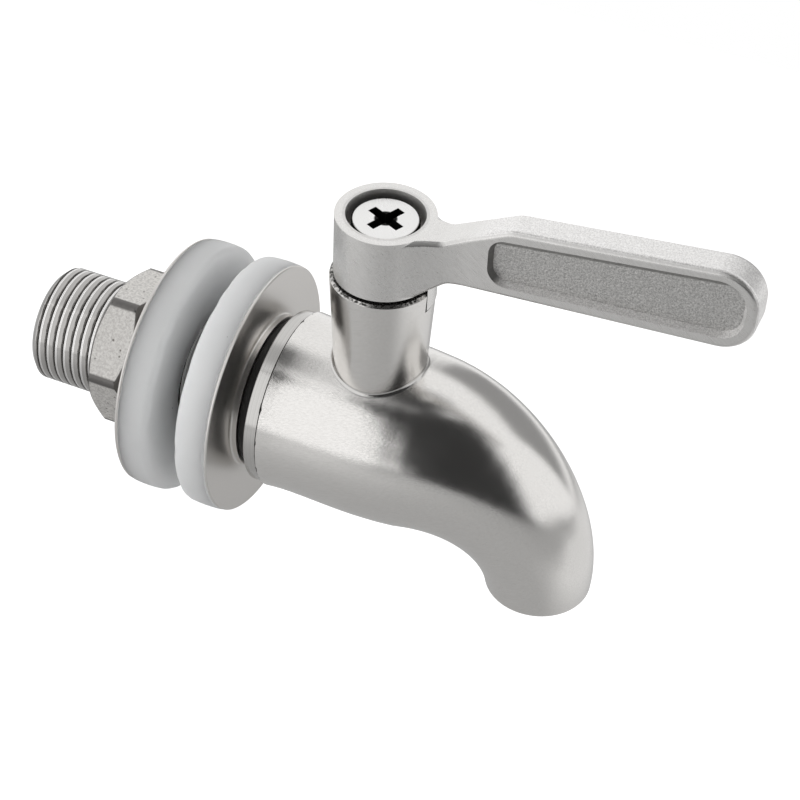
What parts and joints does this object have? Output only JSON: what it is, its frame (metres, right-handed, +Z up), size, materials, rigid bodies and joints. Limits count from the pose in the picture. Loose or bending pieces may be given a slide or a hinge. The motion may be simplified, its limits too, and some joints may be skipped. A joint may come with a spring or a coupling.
{
  "type": "barrel tap",
  "caption": "Small lever ball tap for a drinks vessel, with a short bent spout and a threaded shank that clamps the vessel's wall between silicone washers.",
  "frame": {"origin": "shank axis at the outer face of the vessel's wall, which is the back face of the front silicone washer", "axes": "+X along the shank, from the vessel towards the spout; +Z up, along the axis that the lever turns about"},
  "size_m": [0.1006, 0.0364, 0.0637],
  "materials": {
    "cast_steel": "satin, hand-polished after casting",
    "turned_steel": "turned and polished",
    "washer_steel": "bright stamped sheet",
    "nut_steel": "fine blasted grain",
    "lever_steel": "satin rim, blasted recess",
    "screw_steel": "bright head",
    "ball_steel": "mirror-polished",
    "silicone": "translucent light grey, satin",
    "black_rubber": "matt black",
    "seat_plastic": "plain white"
  },
  "bodies": {
    "tap": {"body_casting": "cast_steel", "threaded_shank": "turned_steel", "shank_seal_ring": "black_rubber", "rear_ball_seat": "seat_plastic", "front_ball_seat": "seat_plastic", "stem_thrust_washer": "seat_plastic", "stem_gland": "turned_steel", "flange_gasket": "black_rubber", "front_steel_washer": "washer_steel", "front_silicone_washer": "silicone"},
    "lever": {"lever_handle": "lever_steel", "handle_screw": "screw_steel", "spring_washer": "screw_steel", "stem": "turned_steel", "stem_lower_ring": "black_rubber", "stem_upper_ring": "black_rubber"},
    "ball": {"valve_ball": "ball_steel"},
    "clamp": {"rear_silicone_washer": "silicone", "rear_steel_washer": "washer_steel"},
    "nut": {"hex_nut": "nut_steel"}
  },
  "joints": [
    {"name": "lever_turn", "type": "hinge", "parent": "tap", "child": "lever", "pos_m": [0.0224, 0, 0.03], "axis": [0, 0, 1], "range_deg": [0, 90]},
    {"name": "ball_turn", "type": "hinge", "parent": "tap", "child": "ball", "pos_m": [0.0224, 0, 0], "axis": [0, 0, 1], "range_deg": [0, 90]},
    {"name": "clamp_slide", "type": "slide", "parent": "tap", "child": "clamp", "axis": [1, 0, 0], "range_m": [-0.007, 0.0038]},
    {"name": "nut_turn", "type": "hinge", "parent": "clamp", "child": "nut", "pos_m": [-0.0148, 0, 0], "axis": [1, 0, 0], "range_deg": [-1880, 1020]}
  ],
  "couplings": [
    {"joint": "ball_turn", "follows": "lever_turn", "ratio": 1},
    {"joint": "clamp_slide", "follows": "nut_turn", "m_per_rad": 0.00021279}
  ]
}
